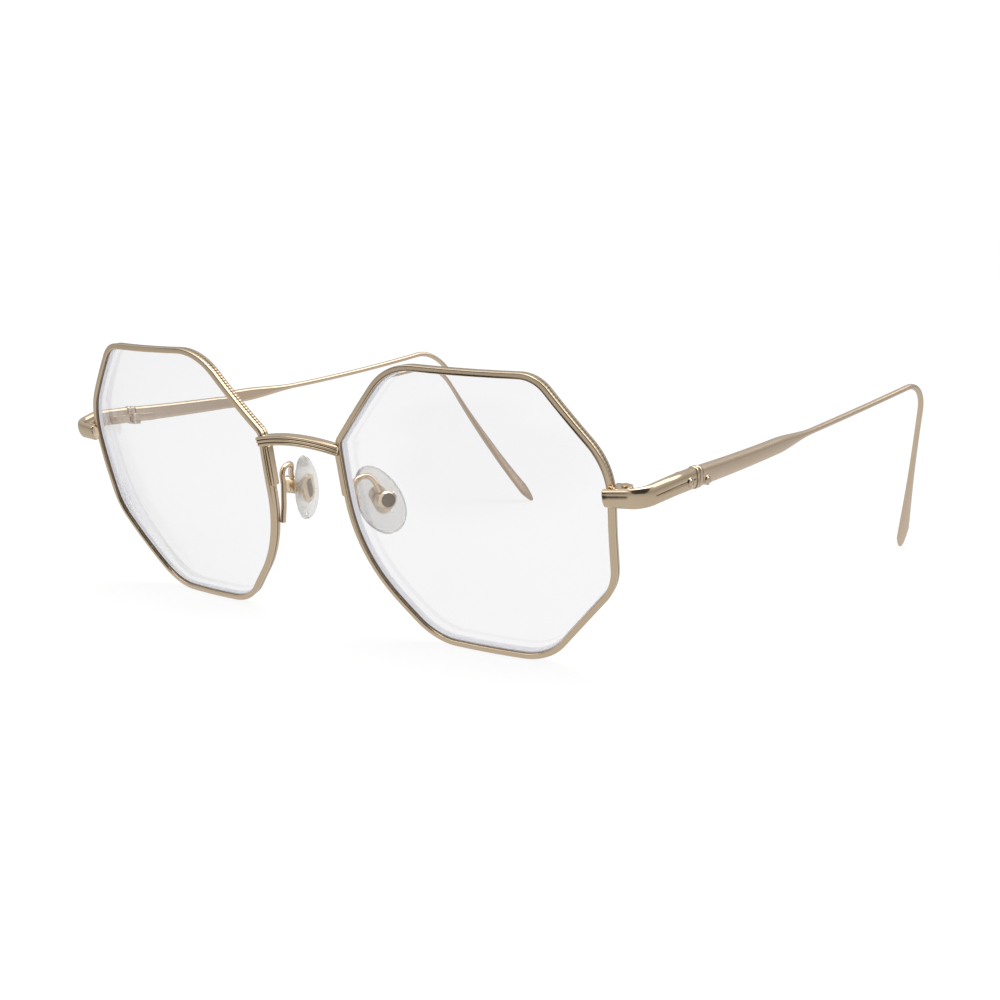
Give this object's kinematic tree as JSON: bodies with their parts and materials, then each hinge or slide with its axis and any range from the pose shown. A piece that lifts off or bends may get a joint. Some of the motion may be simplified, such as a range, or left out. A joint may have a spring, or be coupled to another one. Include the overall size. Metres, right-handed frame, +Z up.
{
  "type": "eyeglasses",
  "caption": "octagonal wire-rim eyeglasses with clear lenses, reeded bridge, rocking nose pads and screw-hinged wire temples with flattened hook ends",
  "frame": {"origin": "on the surface that the glasses stand on, midway between the two sides and midway from front to back", "axes": "+X across the front towards the wearer's left, +Y from the front towards the ears, +Z up"},
  "size_m": [0.14, 0.1378, 0.0488],
  "materials": {
    "polished_gold": "polished pale rose gold plating",
    "satin_gold": "satin pale rose gold plating",
    "screw_gold": "polished plating",
    "clear_lens": "polished clear",
    "soft_pad": "frosted clear silicone"
  },
  "bodies": {
    "front": {"rim_left": "polished_gold", "rim_right": "polished_gold", "lens_left": "clear_lens", "lens_right": "clear_lens", "bridge": "polished_gold", "nasal_bar_left": "polished_gold", "nasal_bar_right": "polished_gold", "pad_arm_left": "polished_gold", "pad_arm_right": "polished_gold", "pad_box_left": "polished_gold", "pad_box_right": "polished_gold", "pad_screw_left": "screw_gold", "pad_screw_right": "screw_gold", "closing_block_upper_left": "polished_gold", "closing_block_upper_right": "polished_gold", "closing_block_lower_left": "polished_gold", "closing_block_lower_right": "polished_gold", "rim_screw_left": "screw_gold", "rim_screw_right": "screw_gold", "end_piece_left": "polished_gold", "end_piece_right": "polished_gold", "end_stud_left": "screw_gold", "end_stud_right": "screw_gold", "hinge_front_left": "polished_gold", "hinge_front_right": "polished_gold", "hinge_screw_left": "screw_gold", "hinge_screw_right": "screw_gold"},
    "temple_left": {"temple_left": "satin_gold", "temple_stud_left": "screw_gold", "hinge_temple_left": "satin_gold"},
    "temple_right": {"temple_right": "satin_gold", "temple_stud_right": "screw_gold", "hinge_temple_right": "satin_gold"},
    "pad_left": {"nose_pad_left": "soft_pad", "pad_core_left": "polished_gold"},
    "pad_right": {"nose_pad_right": "soft_pad", "pad_core_right": "polished_gold"}
  },
  "joints": [
    {"name": "temple_left_fold", "type": "hinge", "parent": "front", "child": "temple_left", "pos_m": [0.06636, -0.04816, 0.03205], "axis": [0, -0.0255, 0.9997], "range_deg": [0, 85]},
    {"name": "temple_right_fold", "type": "hinge", "parent": "front", "child": "temple_right", "pos_m": [-0.06636, -0.04816, 0.03205], "axis": [0, 0.0255, -0.9997], "range_deg": [0, 77]},
    {"name": "pad_left_rock", "type": "hinge", "parent": "front", "child": "pad_left", "pos_m": [0.0117, -0.05666, 0.02386], "axis": [0.3265, 0.8316, 0.4493], "range_deg": [-8, 8]},
    {"name": "pad_right_rock", "type": "hinge", "parent": "front", "child": "pad_right", "pos_m": [-0.0117, -0.05666, 0.02386], "axis": [0.3265, -0.8316, -0.4493], "range_deg": [-8, 8]}
  ]
}
